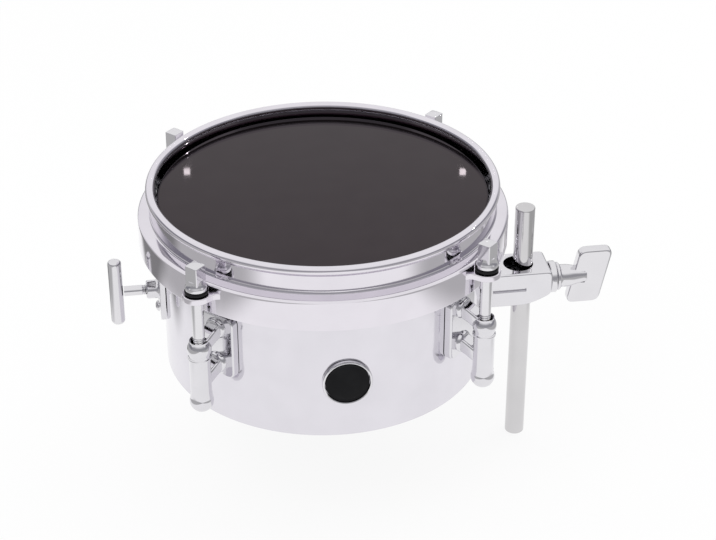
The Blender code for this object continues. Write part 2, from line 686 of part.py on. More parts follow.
def make_bracket():
    half = BRACKET_HEIGHT / 2
    low = BRACKET_Z - half
    high = BRACKET_Z + half
    side = [
        (SHELL_RADIUS - CURVE_ALLOWANCE, low),
        (MOUNT_ROD_OFFSET + BRACKET_NOSE_START, low),
        (BRACKET_END, low + BRACKET_NOSE_RISE),
        (BRACKET_END, high - BRACKET_CORNER),
        (BRACKET_END - BRACKET_CORNER, high),
        (SHELL_RADIUS - CURVE_ALLOWANCE, high),
    ]
    block = side_outline(side, BRACKET_DEPTH / 2)
    chamber_y = EYE_OUTER + GAP
    chamber_z = EYE_HEIGHT / 2 + GAP
    chamber = box_mesh(
        (SHELL_INNER, -chamber_y, BRACKET_Z - chamber_z),
        (CHAMBER_END, chamber_y, BRACKET_Z + chamber_z),
    )
    rod_hole = rod_mesh(
        BRACKET_HOLE_RADIUS,
        (BRACKET_HOLE_X, 0, low - half),
        (BRACKET_HOLE_X, 0, high + half),
        32,
    )
    shank_hole = rod_mesh(
        EYE_SHANK_RADIUS + GAP,
        (EYE_X, 0, BRACKET_Z),
        (BRACKET_END + half, 0, BRACKET_Z),
        TUBE_STEPS,
    )
    grooves = []
    for y in (-BRACKET_DEPTH / 2, BRACKET_DEPTH / 2):
        groove_low = (MOUNT_FACE + GROOVE_INSET, y - GROOVE_CUT, BRACKET_Z - GROOVE_HEIGHT / 2)
        groove_high = (MOUNT_ROD_OFFSET, y + GROOVE_CUT, BRACKET_Z + GROOVE_HEIGHT / 2)
        grooves.append(box_mesh(groove_low, groove_high))
    cutters = [shell_core(MOUNT_FACE), chamber, rod_hole, shank_hole, *grooves]
    tip = MOUNT_FACE + BRACKET_SCREW_GRIP + GAP
    for z in bracket_screw_heights():
        hole = rod_mesh(BRACKET_SCREW_RADIUS + HOLE_PLAY, (SHELL_INNER, 0, z), (tip, 0, z))
        cutters.append(hole)
    place(cut(block, *cutters), "mount_bracket", CHROME)


def make_eye_bolt():
    half = EYE_HEIGHT / 2
    ring = turned_mesh(
        [(EYE_INNER, half), (EYE_OUTER, half), (EYE_OUTER, -half), (EYE_INNER, -half)], 32
    )
    ring = moved(ring, Matrix.Translation((EYE_X, 0, BRACKET_Z)))
    shank_start = EYE_X + (EYE_INNER + EYE_OUTER) / 2
    shank_end = NUT_X + EYE_SHANK_TAIL
    shank = rod_mesh(
        EYE_SHANK_RADIUS,
        (shank_start, 0, BRACKET_Z),
        (shank_end, 0, BRACKET_Z),
        TUBE_STEPS,
    )
    place(join(ring, shank), "eye_bolt", STEEL)


def make_wing_nut():
    facing = Matrix.Translation((0, 0, BRACKET_Z)) @ Matrix.Rotation(math.radians(90), 4, "Y")
    bore = EYE_SHANK_RADIUS + GAP
    washer = [
        (bore, LOCK_WASHER_X + LOCK_WASHER_THICKNESS),
        (LOCK_WASHER_RADIUS, LOCK_WASHER_X + LOCK_WASHER_THICKNESS),
        (LOCK_WASHER_RADIUS, LOCK_WASHER_X),
        (bore, LOCK_WASHER_X),
    ]
    place(moved(turned_mesh(washer, 24), facing), "clamp_washer", CHROME)
    neck_end = NUT_NECK_X + NUT_NECK_LENGTH
    profile = [
        (0, neck_end),
        (NUT_TIP_RADIUS, neck_end),
        (NUT_NECK_RADIUS, WING_X),
        (NUT_NECK_RADIUS, NUT_NECK_X),
        (NUT_FLANGE_RADIUS, NUT_NECK_X),
        (NUT_FLANGE_RADIUS, NUT_X),
        (0, NUT_X),
    ]
    hub = moved(turned_mesh(profile, TUBE_STEPS), facing)
    span = WING_SPAN / 2
    lean = WING_LEAN / 2
    root = WING_ROOT_WIDTH
    bottom = (WING_X, WING_X + root)
    points = [
        (bottom[0] - lean + WING_CORNER, BRACKET_Z - span),
        (bottom[1] - lean - WING_CORNER, BRACKET_Z - span),
        (bottom[1] - lean, BRACKET_Z - span + WING_CORNER),
        (bottom[1] + lean, BRACKET_Z + span - WING_CORNER),
        (bottom[1] + lean - WING_CORNER, BRACKET_Z + span),
        (bottom[0] + lean + WING_CORNER, BRACKET_Z + span),
        (bottom[0] + lean, BRACKET_Z + span - WING_CORNER),
        (bottom[0] - lean, BRACKET_Z - span + WING_CORNER),
    ]
    wings = side_outline(points, WING_THICKNESS / 2)
    hole = rod_mesh(
        bore,
        (NUT_X - CUT_REACH, 0, BRACKET_Z),
        (NUT_X + EYE_SHANK_TAIL + GAP, 0, BRACKET_Z),
        TUBE_STEPS,
    )
    place(cut(join(hub, wings), hole), "wing_nut", CHROME)


def make_butt_bracket():
    low = BRACKET_Z - BRACKET_HEIGHT / 2
    half = STRIP_WIDTH / 2
    strip = box_mesh((STRIP_X, -half, low), (STRIP_X + STRIP_THICKNESS, half, FLANGE_TOP))
    tab_x = SNARE_END - SNARE_PLATE_LENGTH - GAP
    flange = box_mesh(
        (tab_x - HOOK_TAB_THICKNESS, -half, FLANGE_LOW),
        (STRIP_X + 0.5 * STRIP_THICKNESS, half, FLANGE_TOP),
    )
    tab = box_mesh(
        (tab_x - HOOK_TAB_THICKNESS, -half, FLANGE_LOW + JOIN_INSET),
        (tab_x, half, FLANGE_TOP + HOOK_TAB_HEIGHT),
    )
    holes = []
    for z in bracket_screw_heights():
        ends = [(STRIP_X + side * 3 * STRIP_THICKNESS, 0, z) for side in (-1, 1)]
        holes.append(rod_mesh(BRACKET_SCREW_RADIUS + HOLE_PLAY, ends[0], ends[1]))
    place(cut(join(strip, flange, tab), *holes), "butt_bracket", STEEL)
    for number, z in enumerate(bracket_screw_heights(), start=1):
        screw = screw_mesh(
            BRACKET_SCREW_RADIUS,
            BRACKET_SCREW_HEAD_RADIUS,
            BRACKET_SCREW_HEAD_HEIGHT,
            STRIP_X - GAP,
            MOUNT_FACE + BRACKET_SCREW_GRIP,
            z,
        )
        place(screw, f"bracket_screw_{number}", STEEL)


def make_strainer():
    """Everything here is modelled along +X and turned to the drum's -X side."""
    plate = standing_plate(
        STRAINER_PLATE_WIDTH,
        STRAINER_PLATE_HEIGHT,
        STRAINER_PLATE_CORNER,
        SHELL_RADIUS - CURVE_ALLOWANCE,
        LUG_FACE + STRAINER_PLATE_THICKNESS,
        STRAINER_Z,
    )
    boss = rod_mesh(
        STRAINER_BOSS_RADIUS, (LUG_FACE, 0, STRAINER_Z), (BOSS_END_X, 0, STRAINER_Z), TUBE_STEPS
    )
    bolt_hole = rod_mesh(
        BOLT_RADIUS + GAP,
        (SHELL_INNER, 0, STRAINER_Z),
        (BOSS_END_X + GAP, 0, STRAINER_Z),
        TUBE_STEPS,
    )
    holes = [bolt_hole]
    for z in strainer_screw_heights():
        ends = (SHELL_INNER, LUG_FACE + 3 * STRAINER_PLATE_THICKNESS)
        hole = rod_mesh(STRAINER_SCREW_RADIUS + HOLE_PLAY, (ends[0], 0, z), (ends[1], 0, z))
        holes.append(hole)
    bracket = cut(join(plate, boss), shell_core(LUG_FACE), *holes)
    place(bracket, "strainer_bracket", CHROME, 180)
    guide_half = STRIP_WIDTH / 2 + 2 * GAP
    guide_wall = STRIP_THICKNESS
    back = SHELL_INNER - STRIP_SHELL_CLEARANCE - YOKE_GUIDE_SETBACK
    front = YOKE_INNER_X - YOKE_GUIDE_LIP
    outline = [
        (back, -guide_half - guide_wall),
        (back, guide_half + guide_wall),
        (front, guide_half + guide_wall),
        (front, guide_half),
        (back - guide_wall, guide_half),
        (back - guide_wall, -guide_half),
        (front, -guide_half),
        (front, -guide_half - guide_wall),
    ]
    guide_height = 2 * STRAINER_SCREW_SPREAD + 2 * STRAINER_SCREW_HEAD_RADIUS
    guide = moved(
        outline_mesh(outline, guide_height / 2), Matrix.Translation((0, 0, STRAINER_Z))
    )
    guide_holes = []
    wide = BOLT_RADIUS + 2 * HOLE_PLAY
    for z, radius in zip(
        (*strainer_screw_heights(), STRAINER_Z), (STRAINER_SCREW_RADIUS + HOLE_PLAY,) * 2 + (wide,)
    ):
        guide_holes.append(
            rod_mesh(radius, (back - 3 * guide_wall, 0, z), (back + guide_wall, 0, z))
        )
    place(cut(guide, *guide_holes), "yoke_guide", STEEL, 180)
    for number, z in enumerate(strainer_screw_heights(), start=1):
        screw = screw_mesh(
            STRAINER_SCREW_RADIUS,
            STRAINER_SCREW_HEAD_RADIUS,
            STRAINER_SCREW_HEAD_HEIGHT,
            LUG_FACE + STRAINER_PLATE_THICKNESS + GAP,
            back - guide_wall,
            z,
        )
        place(screw, f"strainer_screw_{number}", STEEL, 180)


def make_t_handle():
    neck_end = YOKE_INNER_X - GAP - RETAINER_THICKNESS - 2 * GAP
    profile = [
        (0, T_BAR_X - T_BAR_RADIUS - GAP),
        (BOLT_RADIUS, T_BAR_X - T_BAR_RADIUS - GAP),
        (BOLT_RADIUS, BOLT_SHOULDER_X),
        (BOLT_NECK_RADIUS, BOLT_SHOULDER_X),
        (BOLT_NECK_RADIUS, neck_end),
        (0, neck_end),
    ]
    facing = Matrix.Translation((0, 0, STRAINER_Z)) @ Matrix.Rotation(math.radians(90), 4, "Y")
    bolt = moved(turned_mesh(profile, TUBE_STEPS), facing)
    place(bolt, "t_bolt", CHROME, 180)
    half = T_BAR_LENGTH / 2
    bar_profile = [
        (0, half),
        (T_BAR_RADIUS - T_BAR_CHAMFER, half),
        (T_BAR_RADIUS, half - T_BAR_CHAMFER),
        (T_BAR_RADIUS, T_BAR_CHAMFER - half),
        (T_BAR_RADIUS - T_BAR_CHAMFER, -half),
        (0, -half),
    ]
    bar = turned_mesh(bar_profile, TUBE_STEPS)
    place(moved(bar, Matrix.Translation((T_BAR_X, 0, STRAINER_Z))), "t_bar", CHROME, 180)
    ring_outer = YOKE_INNER_X - GAP
    ring = [
        (BOLT_NECK_RADIUS + GAP, ring_outer),
        (RETAINER_RADIUS, ring_outer),
        (RETAINER_RADIUS, ring_outer - RETAINER_THICKNESS),
        (BOLT_NECK_RADIUS + GAP, ring_outer - RETAINER_THICKNESS),
    ]
    place(moved(turned_mesh(ring, TUBE_STEPS), facing), "bolt_retainer", STEEL, 180)


def make_snares():
    half = STRIP_WIDTH / 2
    strip = box_mesh(
        (YOKE_INNER_X, -half, STRAINER_Z - STRIP_WIDTH / 2), (YOKE_OUTER_X, half, FLANGE_TOP)
    )
    head = box_mesh(
        (YOKE_OUTER_X - YOKE_HEAD_LENGTH, -half, FLANGE_LOW),
        (YOKE_OUTER_X - JOIN_INSET, half, FLANGE_TOP),
    )
    neck_hole = rod_mesh(
        BOLT_NECK_RADIUS + GAP,
        (YOKE_INNER_X - STRIP_THICKNESS, 0, STRAINER_Z),
        (YOKE_OUTER_X + STRIP_THICKNESS, 0, STRAINER_Z),
    )
    place(cut(join(strip, head), neck_hole), "snare_yoke", STEEL, 180)
    plate_half = SNARE_WIDTH / 2 + SNARE_PLATE_MARGIN
    plate = box_mesh(
        (SNARE_END - SNARE_PLATE_LENGTH, -plate_half, SNARE_PLATE_LOW),
        (SNARE_END, plate_half, SNARE_PLATE_LOW + SNARE_PLATE_THICKNESS),
    )
    place(plate, "snare_plate_butt", STEEL)
    place(plate.copy(), "snare_plate_yoke", STEEL, 180)
    band = box_mesh(
        (-SNARE_END, -SNARE_WIDTH / 2, SNARE_LOW), (SNARE_END, SNARE_WIDTH / 2, SNARE_TOP)
    )
    place(band, "snare_wires", STEEL)


clear_scene()
PARTS = new_collection("micro_snare_drum")
CUTTERS = new_collection("cutters")
CHROME = new_material("chrome", (0.82, 0.82, 0.84), 0.08, 1.0)
STEEL = new_material("zinc_steel", (0.62, 0.62, 0.63), 0.3, 1.0)
ALUMINIUM = new_material("aluminium", (0.72, 0.72, 0.73), 0.35, 1.0)
BRASS = new_material("brass", (0.75, 0.6, 0.32), 0.3, 1.0)
BLACK = new_material("black_plastic", (0.015, 0.015, 0.017), 0.35, 0.0)
FILM = new_material("black_film", (0.07, 0.062, 0.065), 0.3, 0.0)
STAND = bpy.data.objects.new("rod_foot", None)
PARTS.objects.link(STAND)
DRUM = bpy.data.objects.new("drum_axis", None)
DRUM.location = (-MOUNT_ROD_OFFSET, 0, SHELL_BASE_Z)
PARTS.objects.link(DRUM)

make_shell()
make_head()
make_counterhoop()
make_tension_rods()
make_lugs()
make_badge()
make_mount_rod()
make_bracket()
make_eye_bolt()
make_wing_nut()
make_butt_bracket()
make_strainer()
make_t_handle()
make_snares()
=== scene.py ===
# Looks of the micro snare drum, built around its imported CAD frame.
# Pieces are made in drum millimetres: the origin is the centre of the shell's lower edge, the
# badge is at -Y, the clamp at +X and the T-handle at -X. TO_ROW takes them to the row frame.

import json
import math

import bmesh
import bpy
from mathutils import Matrix, Vector


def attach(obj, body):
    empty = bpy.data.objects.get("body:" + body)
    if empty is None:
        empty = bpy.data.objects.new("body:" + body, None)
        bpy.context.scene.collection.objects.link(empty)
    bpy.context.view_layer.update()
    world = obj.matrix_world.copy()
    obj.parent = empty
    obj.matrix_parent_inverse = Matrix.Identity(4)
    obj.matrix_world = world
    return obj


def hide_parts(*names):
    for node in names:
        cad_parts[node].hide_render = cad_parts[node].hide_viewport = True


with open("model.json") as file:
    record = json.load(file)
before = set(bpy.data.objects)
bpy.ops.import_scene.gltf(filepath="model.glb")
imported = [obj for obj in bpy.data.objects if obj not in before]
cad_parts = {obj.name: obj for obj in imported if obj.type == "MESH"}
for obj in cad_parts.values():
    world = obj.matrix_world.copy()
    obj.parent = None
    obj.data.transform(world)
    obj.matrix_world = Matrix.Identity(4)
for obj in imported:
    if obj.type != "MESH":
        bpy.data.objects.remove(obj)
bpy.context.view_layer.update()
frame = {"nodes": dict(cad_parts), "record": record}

MM = 0.001
ROD_X = 97.0
ROD_FOOT = -61.4
ROD_LENGTH = 129.7
ROD_RADIUS = 4.76
TO_ROW = Matrix.Translation((-ROD_X * MM, 0.0, -ROD_FOOT * MM)) @ Matrix.Scale(MM, 4)
# Stands a flat outline up, so that it faces +X.
UPRIGHT = Matrix(((0, 0, 1, 0), (1, 0, 0, 0), (0, 1, 0, 0), (0, 0, 0, 1)))
SEAT_RADIUS = 76.5
ROD_CIRCLE = 91.0
LUG_TURNS = (45.0, 135.0, 225.0, 315.0)
LUG_SCREW_HEIGHTS = (32.5, 50.5)
BRACKET_Z = 28.2
CLAMP_HALF = 8.9
CLAMP_SCREW_RISE = 6.15
STRAINER_Z = 38.9
STRAINER_SCREW_RISE = 9.4
# The part of a noise's range that its colours and values are spread over.
NOISE_LOW = 0.3
NOISE_HIGH = 0.7


# Mesh helpers.
def spin(degrees, axis="Z"):
    return Matrix.Rotation(math.radians(degrees), 4, axis)


def shift(x=0.0, y=0.0, z=0.0):
    return Matrix.Translation((x, y, z))


def arc(centre, radius, start, end, count):
    """Points along an arc in the profile plane, with its angles in degrees."""
    steps = [math.radians(start + (end - start) * i / (count - 1)) for i in range(count)]
    return [(centre[0] + radius * math.cos(a), centre[1] + radius * math.sin(a)) for a in steps]


def rounded(points, sizes, count=5):
    """A closed profile with its corners rounded. sizes has a radius for each corner."""
    made = []
    total = len(points)
    for i, (corner, size) in enumerate(zip(points, sizes)):
        here = Vector(corner)
        back = Vector(points[i - 1]) - here
        ahead = Vector(points[(i + 1) % total]) - here
        if size <= 0:
            made.append(tuple(here))
            continue
        reach = min(size, 0.49 * back.length, 0.49 * ahead.length)
        first = here + back.normalized() * reach
        last = here + ahead.normalized() * reach
        for k in range(count):
            t = k / (count - 1)
            point = first * (1 - t) ** 2 + here * 2 * t * (1 - t) + last * t * t
            made.append(tuple(point))
    return made


def lathe(profile, steps):
    """Turns (radius, height) points round Z. Points on the axis become single vertices.

    A profile that starts off the axis is closed from its last point to its first.
    """
    bm = bmesh.new()
    rings = []
    for radius, height in profile:
        if radius < 1e-6:
            rings.append([bm.verts.new((0, 0, height))])
            continue
        ring = []
        for i in range(steps):
            a = 2 * math.pi * i / steps
            ring.append(bm.verts.new((radius * math.cos(a), radius * math.sin(a), height)))
        rings.append(ring)
    pairs = list(zip(rings, rings[1:]))
    if len(rings[0]) > 1:
        pairs.append((rings[-1], rings[0]))
    for low, high in pairs:
        for i in range(steps):
            j = (i + 1) % steps
            corners = [low[i % len(low)], low[j % len(low)], high[j % len(high)], high[i % len(high)]]
            unique = list(dict.fromkeys(corners))
            if len(unique) > 2:
                bm.faces.new(unique)
    bmesh.ops.recalc_face_normals(bm, faces=bm.faces)
    return bm


def extruded(outline, thickness, bevel=0.0, segments=3, keep=None):
    """A flat (x, y) outline, thick along Z about its middle, with rounded long edges.

    keep tells for a point whether the edges between such points stay sharp.
    """
    bm = bmesh.new()
    half = thickness / 2
    low = [bm.verts.new((x, y, -half)) for x, y in outline]
    high = [bm.verts.new((x, y, half)) for x, y in outline]
    caps = [bm.faces.new(low[::-1]), bm.faces.new(high)]
    for i in range(len(outline)):
        j = (i + 1) % len(outline)
        bm.faces.new((low[i], low[j], high[j], high[i]))
    bmesh.ops.recalc_face_normals(bm, faces=bm.faces)
    if bevel > 0:
        edges = list({e for face in caps for e in face.edges})
        if keep:
            edges = [e for e in edges if not all(keep(v.co) for v in e.verts)]
        bmesh.ops.bevel(
            bm, geom=edges, offset=bevel, segments=segments, profile=0.5, affect="EDGES"
        )
    return bm


def box(low, high, bevel=0.3, segments=2):
    bm = bmesh.new()
    bmesh.ops.create_cube(bm, size=1.0)
    size = Vector(high) - Vector(low)
    bmesh.ops.scale(bm, vec=size, verts=bm.verts)
    bmesh.ops.translate(bm, vec=(Vector(low) + Vector(high)) / 2, verts=bm.verts)
    if bevel > 0:
        bmesh.ops.bevel(
            bm, geom=bm.edges[:], offset=bevel, segments=segments, profile=0.5, affect="EDGES"
        )
    return bm


def tube(points, radius, sides):
    """A round bar along a list of points, with a flat face at each end."""
    bm = bmesh.new()
    points = [Vector(p) for p in points]
    last = len(points) - 1
    rings = []
    side = None
    for i, here in enumerate(points):
        along = points[min(i + 1, last)] - points[max(i - 1, 0)]
        along.normalize()
        if side is None:
            side = along.orthogonal().normalized()
        side = (side - along * side.dot(along)).normalized()
        other = along.cross(side)
        ring = []
        for k in range(sides):
            a = 2 * math.pi * k / sides
            ring.append(bm.verts.new(here + (side * math.cos(a) + other * math.sin(a)) * radius))
        rings.append(ring)
    for low, high in zip(rings, rings[1:]):
        for k in range(sides):
            j = (k + 1) % sides
            bm.faces.new((low[k], low[j], high[j], high[k]))
    bm.faces.new(rings[0][::-1])
    bm.faces.new(rings[-1])
    bmesh.ops.recalc_face_normals(bm, faces=bm.faces)
    return bm


def threaded(radius, depth, pitch, low, high, sides=20):
    """A bar along Z with a helical thread from low to high, open at both ends."""
    bm = bmesh.new()
    rows = max(2, int((high - low) / pitch * 6))
    rings = []
    for r in range(rows + 1):
        z = low + (high - low) * r / rows
        ring = []
        for k in range(sides):
            a = 2 * math.pi * k / sides
            wave = ((z / pitch - k / sides) % 1.0) * 2 - 1
            here = radius - depth * (1 - abs(wave))
            ring.append(bm.verts.new((here * math.cos(a), here * math.sin(a), z)))
        rings.append(ring)
    for first, second in zip(rings, rings[1:]):
        for k in range(sides):
            j = (k + 1) % sides
            bm.faces.new((first[k], first[j], second[j], second[k]))
    bm.faces.new(rings[0][::-1])
    bm.faces.new(rings[-1])
    return bm


def placed(bm, matrix):
    bmesh.ops.transform(bm, matrix=matrix, verts=bm.verts)
    return bm


def merged(*meshes):
    """Several closed meshes in one, which may run into each other."""
    whole = bmesh.new()
    for bm in meshes:
        part = bpy.data.meshes.new("part")
        bm.to_mesh(part)
        bm.free()
        whole.from_mesh(part)
        bpy.data.meshes.remove(part)
    return whole


def mesh_of(bm, name, angle=32.0):
    bmesh.ops.recalc_face_normals(bm, faces=bm.faces)
    mesh = bpy.data.meshes.new(name)
    bm.to_mesh(mesh)
    bm.free()
    mesh.shade_smooth()
    mesh.set_sharp_from_angle(angle=math.radians(angle))
    return mesh


def boolean(base, cutters, operation="DIFFERENCE"):
    """Cuts a bmesh with others, or joins it to them, with the exact solver."""
    work = bpy.data.objects.new("work", mesh_of(base, "work"))
    bpy.context.scene.collection.objects.link(work)
    helpers = []
    for cutter in cutters:
        helper = bpy.data.objects.new("helper", mesh_of(cutter, "helper"))
        bpy.context.scene.collection.objects.link(helper)
        modifier = work.modifiers.new("Boolean", "BOOLEAN")
        modifier.operation = operation
        modifier.solver = "EXACT"
        modifier.object = helper
        helpers.append(helper)
    bpy.context.view_layer.update()
    graph = bpy.context.evaluated_depsgraph_get()
    result = bpy.data.meshes.new_from_object(work.evaluated_get(graph))
    for obj in [work, *helpers]:
        bpy.data.objects.remove(obj, do_unlink=True)
    bm = bmesh.new()
    bm.from_mesh(result)
    bpy.data.meshes.remove(result)
    return bm


def piece(name, mesh, material, body, nodes, matrix=None):
    """A finished piece: in the row frame, on its body, and standing for its CAD nodes."""
    mesh = mesh.copy()
    mesh.name = name
    mesh.transform(TO_ROW @ (matrix if matrix is not None else Matrix.Identity(4)))
    mesh.materials.append(material)
    obj = bpy.data.objects.new(name, mesh)
    bpy.context.scene.collection.objects.link(obj)
    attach(obj, body)
    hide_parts(*nodes)
    flatten = obj.modifiers.new("Weighted normals", "WEIGHTED_NORMAL")
    flatten.keep_sharp = True
    return obj


# Materials.
def material(name):
    made = bpy.data.materials.new(name)
    made.use_nodes = True
    tree = made.node_tree
    return made, tree, tree.nodes["Principled BSDF"]


def noise(tree, scale, detail, stretch=(1.0, 1.0, 1.0)):
    """Object-space noise, with its scale in cycles for each millimetre."""
    place = tree.nodes.new("ShaderNodeTexCoord")
    mapping = tree.nodes.new("ShaderNodeMapping")
    mapping.inputs["Scale"].default_value = stretch
    texture = tree.nodes.new("ShaderNodeTexNoise")
    texture.inputs["Scale"].default_value = scale / MM
    texture.inputs["Detail"].default_value = detail
    tree.links.new(place.outputs["Object"], mapping.inputs["Vector"])
    tree.links.new(mapping.outputs["Vector"], texture.inputs["Vector"])
    return texture.outputs["Fac"]


def ramp(tree, value, low, high):
    """A colour between two, by a noise value."""
    node = tree.nodes.new("ShaderNodeValToRGB")
    node.color_ramp.elements[0].position = NOISE_LOW
    node.color_ramp.elements[1].position = NOISE_HIGH
    node.color_ramp.elements[0].color = (*low, 1.0)
    node.color_ramp.elements[1].color = (*high, 1.0)
    tree.links.new(value, node.inputs["Fac"])
    return node.outputs["Color"]


def spread(tree, value, low, high):
    """A number between two, by a noise value."""
    node = tree.nodes.new("ShaderNodeMapRange")
    node.inputs["From Min"].default_value = NOISE_LOW
    node.inputs["From Max"].default_value = NOISE_HIGH
    node.inputs["To Min"].default_value = low
    node.inputs["To Max"].default_value = high
    tree.links.new(value, node.inputs["Value"])
    return node.outputs["Result"]


def bump(tree, shader, value, distance):
    """Relief of a height in millimetres."""
    node = tree.nodes.new("ShaderNodeBump")
    node.inputs["Distance"].default_value = distance * MM
    node.inputs["Strength"].default_value = 1.0
    tree.links.new(value, node.inputs["Height"])
    tree.links.new(node.outputs["Normal"], shader.inputs["Normal"])


def combined(tree, operation, first, second):
    node = tree.nodes.new("ShaderNodeMath")
    node.operation = operation
    tree.links.new(first, node.inputs[0])
    tree.links.new(second, node.inputs[1])
    return node.outputs[0]


def between(tree, value, rise, fall):
    """1 where a value lies between a soft rise and a soft fall, else 0."""
    sides = []
    for start, end, low, high in ((*rise, 0.0, 1.0), (*fall, 1.0, 0.0)):
        node = tree.nodes.new("ShaderNodeMapRange")
        node.interpolation_type = "SMOOTHSTEP"
        node.inputs["From Min"].default_value = start
        node.inputs["From Max"].default_value = end
        node.inputs["To Min"].default_value = low
        node.inputs["To Max"].default_value = high
        tree.links.new(value, node.inputs["Value"])
        sides.append(node.outputs["Result"])
    return combined(tree, "MULTIPLY", *sides)


def patch(tree, first, first_span, second, second_span):
    """1 where two values both lie between their own soft rise and fall, else 0."""
    inside = between(tree, first, *first_span)
    return combined(tree, "MULTIPLY", inside, between(tree, second, *second_span))


def toned(tree, colour, share, shade):
    """A colour taken towards another one by a share."""
    node = tree.nodes.new("ShaderNodeMix")
    node.data_type = "RGBA"
    tree.links.new(share, node.inputs["Factor"])
    tree.links.new(colour, node.inputs["A"])
    node.inputs["B"].default_value = (*shade, 1)
    return node.outputs["Result"]


def ring_mask(centre, near, far, bottom, top):
    """Makes a mask that is 1 between two radii about an upright axis and between two heights."""
    def mask(tree):
        place = tree.nodes.new("ShaderNodeTexCoord")
        centred = tree.nodes.new("ShaderNodeVectorMath")
        centred.operation = "SUBTRACT"
        centred.inputs[1].default_value = (centre, 0.0, 0.0)
        tree.links.new(place.outputs["Object"], centred.inputs[0])
        flat = tree.nodes.new("ShaderNodeVectorMath")
        flat.operation = "MULTIPLY"
        flat.inputs[1].default_value = (1.0, 1.0, 0.0)
        tree.links.new(centred.outputs[0], flat.inputs[0])
        length = tree.nodes.new("ShaderNodeVectorMath")
        length.operation = "LENGTH"
        tree.links.new(flat.outputs[0], length.inputs[0])
        split = tree.nodes.new("ShaderNodeSeparateXYZ")
        tree.links.new(place.outputs["Object"], split.inputs[0])
        return patch(tree, length.outputs["Value"], (near, far), split.outputs["Z"], (bottom, top))

    return mask


def metal(name, colour, rough, wave=0, wave_scale=0.05, grain=0, stretch=(1, 1, 1), painted_shade=None):
    """Plated or bare metal, with slow waves in its polish and fine grain, both in millimetres.

    The mask and colour in the last argument paint shade on the metal: inside the mask its colour is
    darkened to that colour.
    """
    made, tree, shader = material(name)
    shader.inputs["Metallic"].default_value = 1.0
    tint = noise(tree, 0.06, 2.0)
    darker = tuple(0.955 * c for c in colour)
    tone = ramp(tree, tint, darker, colour)
    # Painted shade: a darker metal colour inside the mask.
    if painted_shade:
        tone = toned(tree, tone, painted_shade[0](tree), painted_shade[1])
    tree.links.new(tone, shader.inputs["Base Color"])
    cloud = noise(tree, 0.35, 4.0, stretch)
    tree.links.new(spread(tree, cloud, rough[0], rough[1]), shader.inputs["Roughness"])
    if wave > 0:
        bump(tree, shader, noise(tree, wave_scale, 1.0), wave)
    if grain > 0:
        bump(tree, shader, noise(tree, 2.0, 4.0, stretch), grain)
    return made


def black(name, colour, rough, bump_height, bump_scale, specular, sheen=(1, 1, 1)):
    """A black surface. specular and sheen are the strength and tint of its reflection."""
    made, tree, shader = material(name)
    tint = noise(tree, bump_scale * 0.2, 3.0)
    lighter = tuple(1.35 * c + 0.002 for c in colour)
    tree.links.new(ramp(tree, tint, colour, lighter), shader.inputs["Base Color"])
    cloud = noise(tree, bump_scale * 0.1, 3.0)
    tree.links.new(spread(tree, cloud, rough[0], rough[1]), shader.inputs["Roughness"])
    bump(tree, shader, noise(tree, bump_scale, 2.0), bump_height)
    shader.inputs["Specular IOR Level"].default_value = specular
    shader.inputs["Specular Tint"].default_value = (*sheen, 1)
    return made


# The masks are in metres, in the row frame. Inside them the metal colour is darkened as painted
# shade.
HOOP_INSIDE_SHADE = ring_mask(-0.097, (0.07, 0.071), (0.0792, 0.0798), (0.135, 0.136), (0.1486, 0.1494))
CLAMP_BORE_SHADE = ring_mask(-0.0022, (-0.002, -0.001), (0.0073, 0.0076), (0.07, 0.071), (0.0976, 0.0981))
CHROME_TINT = (0.765, 0.745, 0.795)
SHELL_CHROME = metal("shell_chrome", CHROME_TINT, (0.06, 0.11), wave=0.02, wave_scale=0.03)
HOOP_TINT = (0.8, 0.77, 0.825)
# Painted shade on the hoop's inner wall: darker metal where it faces the black head.
HOOP_CHROME = metal("hoop_chrome", HOOP_TINT, (0.05, 0.1), wave=0.012, wave_scale=0.06,
                    painted_shade=(HOOP_INSIDE_SHADE, (0.7, 0.68, 0.74)))
LUG_CHROME = metal("lug_chrome", (0.76, 0.75, 0.78), (0.05, 0.1), wave=0.02, wave_scale=0.15)
HARDWARE = metal("hardware_chrome", (0.77, 0.76, 0.785), (0.06, 0.12), wave=0.01, wave_scale=0.2)
# Painted shade in the clamp's bore: the metal inside it is coloured near black.
BRACKET = metal("bracket_chrome", (0.76, 0.75, 0.78), (0.09, 0.16), wave=0.03, wave_scale=0.12,
                painted_shade=(CLAMP_BORE_SHADE, (0.06, 0.06, 0.065)))
ROD_CHROME = metal("rod_chrome", (0.66, 0.65, 0.66), (0.06, 0.12), grain=0.0006, stretch=(1, 1, 0.04))
ALUMINIUM = metal("aluminium", (0.72, 0.72, 0.73), (0.28, 0.4), grain=0.01, stretch=(1, 1, 0.2))
ZINC = metal("zinc_steel", (0.56, 0.57, 0.59), (0.25, 0.38), grain=0.008)
SNARE = metal("snare_steel", (0.66, 0.66, 0.68), (0.16, 0.24), grain=0.003)
BRASS = metal("brass", (0.78, 0.62, 0.33), (0.22, 0.3), grain=0.006)
FILM = black("head_film", (0.003, 0.0022, 0.0025), (0.015, 0.03), 0.0002, 0.4, specular=0.27,
             sheen=(1.0, 0.6, 0.78))
BADGE = black("badge_black", (0.004, 0.004, 0.005), (0.2, 0.28), 0.003, 0.8, specular=0.12)
WASHER = black("black_washer", (0.006, 0.006, 0.007), (0.35, 0.45), 0.01, 1.5, specular=0.2)


# Shell, head and hoop.
def shell_core(steps=192, low=0):
    """What is cut away from a piece that sits on the shell, a little wider than the shell."""
    return lathe([(0, low), (SEAT_RADIUS, low), (SEAT_RADIUS, 90), (0, 90)], steps)


